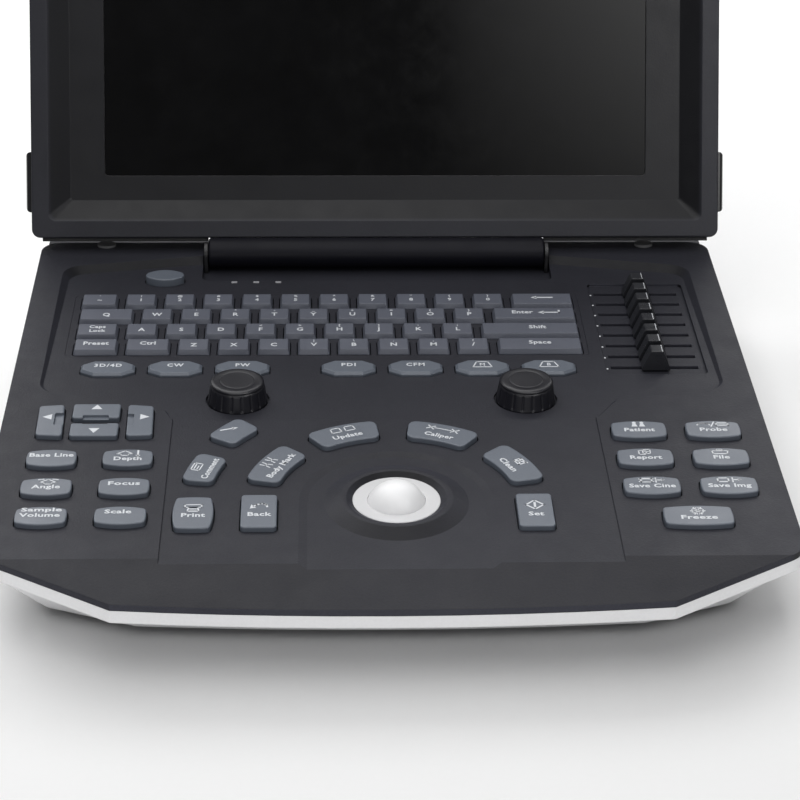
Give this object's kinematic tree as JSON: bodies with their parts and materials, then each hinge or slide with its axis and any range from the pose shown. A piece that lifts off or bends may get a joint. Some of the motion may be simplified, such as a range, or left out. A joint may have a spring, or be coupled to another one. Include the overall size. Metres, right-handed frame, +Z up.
{
  "type": "portable ultrasound scanner",
  "caption": "Laptop-style portable ultrasound scanner: flat control console with keyboard, trackball, knobs and gain sliders under a hinged display lid.",
  "frame": {"origin": "on the table plane, under the middle of the open machine's bounding box, so the rubber feet stand on z = 0", "axes": "+X to the operator's right along the hinge, +Y from the operator to the rear, +Z up"},
  "size_m": [0.3984, 0.508, 0.3352],
  "materials": {
    "deck_plastic": "fine matt texture, dark grey",
    "white_plastic": "satin, off white",
    "foot_rubber": "matt black",
    "screw_steel": "plain steel",
    "cover_plastic": "satin, off white",
    "battery_wrap": "black case",
    "well_plastic": "fine matt texture, darker grey",
    "circuit_board": "green board with black chips",
    "heat_sink_aluminium": "raw aluminium",
    "fan_plastic": "black",
    "fan_blades": "black",
    "panel_plastic": "dark grey",
    "socket_plastic": "dark grey",
    "speaker_metal": "black",
    "light_lens": "milky lens",
    "pad_rubber": "matt grey",
    "encoder_metal": "plain metal",
    "resistor_metal": "plain metal",
    "ring_plastic": "glossy white",
    "cup_plastic": "black",
    "ball_resin": "glossy pale grey",
    "coated_steel": "black coated steel",
    "bracket_steel": "zinc plated",
    "hinge_plastic": "satin near black",
    "bezel_plastic": "fine matt texture, dark grey",
    "back_plastic": "satin, off white",
    "screen_surface": "switched-off screen, glossy black",
    "lcd_metal": "plain metal frame",
    "bumper_plastic": "glossy black",
    "knob_plastic": "glossy black, fluted",
    "control_key_plastic": "satin blue grey with pale legends",
    "keyboard_key_plastic": "satin blue grey with pale legends",
    "slider_plastic": "satin grey"
  },
  "bodies": {
    "console": {"top_deck": "deck_plastic", "bottom_housing": "white_plastic", "rubber_feet": "foot_rubber", "housing_screws": "screw_steel", "battery_cover": "cover_plastic", "battery_pack": "battery_wrap", "keyboard_frame": "well_plastic", "keypad_board": "circuit_board", "main_board": "circuit_board", "heat_sink": "heat_sink_aluminium", "fan_frame": "fan_plastic", "rear_io_panel": "panel_plastic", "probe_sockets": "socket_plastic", "speakers": "speaker_metal", "status_lights": "light_lens", "lid_stop_pads": "pad_rubber", "encoders": "encoder_metal", "slide_resistors": "resistor_metal", "trackball_ring": "ring_plastic", "trackball_housing": "cup_plastic", "hinge_base_brackets": "coated_steel"},
    "display_lid": {"lid_bezel": "bezel_plastic", "lid_back_cover": "back_plastic", "hinge_cover": "hinge_plastic", "lcd_panel": "lcd_metal", "screen_glass": "screen_surface", "display_board": "circuit_board", "hinge_lid_brackets": "bracket_steel", "side_bumpers": "bumper_plastic", "lid_buffers": "pad_rubber", "lid_screws": "screw_steel"},
    "power_button_body": {"power_button": "control_key_plastic"},
    "cursor_left_key_body": {"cursor_left_key": "control_key_plastic"},
    "cursor_right_key_body": {"cursor_right_key": "control_key_plastic"},
    "cursor_up_key_body": {"cursor_up_key": "control_key_plastic"},
    "cursor_down_key_body": {"cursor_down_key": "control_key_plastic"},
    "parameter_keys_body": {"parameter_keys": "control_key_plastic"},
    "file_keys_body": {"file_keys": "control_key_plastic"},
    "freeze_key_body": {"freeze_key": "control_key_plastic"},
    "print_key_body": {"print_key": "control_key_plastic"},
    "back_key_body": {"back_key": "control_key_plastic"},
    "set_key_body": {"set_key": "control_key_plastic"},
    "arc_keys_body": {"arc_keys": "control_key_plastic"},
    "mode_keys_body": {"mode_keys": "control_key_plastic"},
    "number_row_keys_body": {"number_row_keys": "keyboard_key_plastic"},
    "upper_row_keys_body": {"upper_row_keys": "keyboard_key_plastic"},
    "home_row_keys_body": {"home_row_keys": "keyboard_key_plastic"},
    "lower_row_keys_body": {"lower_row_keys": "keyboard_key_plastic"},
    "knob_left_body": {"knob_left": "knob_plastic"},
    "knob_right_body": {"knob_right": "knob_plastic"},
    "trackball_body": {"trackball": "ball_resin"},
    "fan_body": {"fan_rotor": "fan_blades"},
    "gain_slider_1_body": {"gain_slider_1": "slider_plastic"},
    "gain_slider_2_body": {"gain_slider_2": "slider_plastic"},
    "gain_slider_3_body": {"gain_slider_3": "slider_plastic"},
    "gain_slider_4_body": {"gain_slider_4": "slider_plastic"},
    "gain_slider_5_body": {"gain_slider_5": "slider_plastic"},
    "gain_slider_6_body": {"gain_slider_6": "slider_plastic"},
    "gain_slider_7_body": {"gain_slider_7": "slider_plastic"},
    "gain_slider_8_body": {"gain_slider_8": "slider_plastic"}
  },
  "joints": [
    {"name": "lid_hinge", "type": "hinge", "parent": "console", "child": "display_lid", "pos_m": [0, 0.1, 0.0475], "axis": [1, 0, 0], "range_deg": [-6, 115.2]},
    {"name": "power_press", "type": "slide", "parent": "console", "child": "power_button_body", "axis": [0, 0, -1], "range_m": [0, 0.0015], "stiffness_N_per_m": 400},
    {"name": "cursor_left_press", "type": "slide", "parent": "console", "child": "cursor_left_key_body", "axis": [0, 0, -1], "range_m": [0, 0.0015], "stiffness_N_per_m": 400},
    {"name": "cursor_right_press", "type": "slide", "parent": "console", "child": "cursor_right_key_body", "axis": [0, 0, -1], "range_m": [0, 0.0015], "stiffness_N_per_m": 400},
    {"name": "cursor_up_press", "type": "slide", "parent": "console", "child": "cursor_up_key_body", "axis": [0, 0, -1], "range_m": [0, 0.0015], "stiffness_N_per_m": 400},
    {"name": "cursor_down_press", "type": "slide", "parent": "console", "child": "cursor_down_key_body", "axis": [0, 0, -1], "range_m": [0, 0.0015], "stiffness_N_per_m": 400},
    {"name": "parameter_press", "type": "slide", "parent": "console", "child": "parameter_keys_body", "axis": [0, 0, -1], "range_m": [0, 0.0015], "stiffness_N_per_m": 400},
    {"name": "file_press", "type": "slide", "parent": "console", "child": "file_keys_body", "axis": [0, 0, -1], "range_m": [0, 0.0015], "stiffness_N_per_m": 400},
    {"name": "freeze_press", "type": "slide", "parent": "console", "child": "freeze_key_body", "axis": [0, 0, -1], "range_m": [0, 0.0015], "stiffness_N_per_m": 400},
    {"name": "print_press", "type": "slide", "parent": "console", "child": "print_key_body", "axis": [0, 0, -1], "range_m": [0, 0.0015], "stiffness_N_per_m": 400},
    {"name": "back_press", "type": "slide", "parent": "console", "child": "back_key_body", "axis": [0, 0, -1], "range_m": [0, 0.0015], "stiffness_N_per_m": 400},
    {"name": "set_press", "type": "slide", "parent": "console", "child": "set_key_body", "axis": [0, 0, -1], "range_m": [0, 0.0015], "stiffness_N_per_m": 400},
    {"name": "arc_press", "type": "slide", "parent": "console", "child": "arc_keys_body", "axis": [0, 0, -1], "range_m": [0, 0.0015], "stiffness_N_per_m": 400},
    {"name": "mode_press", "type": "slide", "parent": "console", "child": "mode_keys_body", "axis": [0, 0, -1], "range_m": [0, 0.0015], "stiffness_N_per_m": 400},
    {"name": "number_row_press", "type": "slide", "parent": "console", "child": "number_row_keys_body", "axis": [0, 0, -1], "range_m": [0, 0.0015], "stiffness_N_per_m": 400},
    {"name": "upper_row_press", "type": "slide", "parent": "console", "child": "upper_row_keys_body", "axis": [0, 0, -1], "range_m": [0, 0.0015], "stiffness_N_per_m": 400},
    {"name": "home_row_press", "type": "slide", "parent": "console", "child": "home_row_keys_body", "axis": [0, 0, -1], "range_m": [0, 0.0015], "stiffness_N_per_m": 400},
    {"name": "lower_row_press", "type": "slide", "parent": "console", "child": "lower_row_keys_body", "axis": [0, 0, -1], "range_m": [0, 0.0015], "stiffness_N_per_m": 400},
    {"name": "knob_left_turn", "type": "hinge", "parent": "console", "child": "knob_left_body", "pos_m": [-0.0746, -0.06925, 0.052], "axis": [0, 0, 1], "continuous": true},
    {"name": "knob_right_turn", "type": "hinge", "parent": "console", "child": "knob_right_body", "pos_m": [0.0725, -0.06925, 0.052], "axis": [0, 0, 1], "continuous": true},
    {"name": "trackball_roll", "type": "hinge", "parent": "console", "child": "trackball_body", "pos_m": [0.0035, -0.16995, 0.03985], "axis": [1, 0, 0], "continuous": true},
    {"name": "fan_spin", "type": "hinge", "parent": "console", "child": "fan_body", "pos_m": [-0.1, 0.03404, 0.01], "axis": [0, 0, 1], "continuous": true},
    {"name": "gain_1_slide", "type": "slide", "parent": "console", "child": "gain_slider_1_body", "axis": [1, 0, 0], "range_m": [-0.016, 0.016]},
    {"name": "gain_2_slide", "type": "slide", "parent": "console", "child": "gain_slider_2_body", "axis": [1, 0, 0], "range_m": [-0.016, 0.016]},
    {"name": "gain_3_slide", "type": "slide", "parent": "console", "child": "gain_slider_3_body", "axis": [1, 0, 0], "range_m": [-0.016, 0.016]},
    {"name": "gain_4_slide", "type": "slide", "parent": "console", "child": "gain_slider_4_body", "axis": [1, 0, 0], "range_m": [-0.016, 0.016]},
    {"name": "gain_5_slide", "type": "slide", "parent": "console", "child": "gain_slider_5_body", "axis": [1, 0, 0], "range_m": [-0.016, 0.016]},
    {"name": "gain_6_slide", "type": "slide", "parent": "console", "child": "gain_slider_6_body", "axis": [1, 0, 0], "range_m": [-0.016, 0.016]},
    {"name": "gain_7_slide", "type": "slide", "parent": "console", "child": "gain_slider_7_body", "axis": [1, 0, 0], "range_m": [-0.016, 0.016]},
    {"name": "gain_8_slide", "type": "slide", "parent": "console", "child": "gain_slider_8_body", "axis": [1, 0, 0], "range_m": [-0.016, 0.016]}
  ]
}
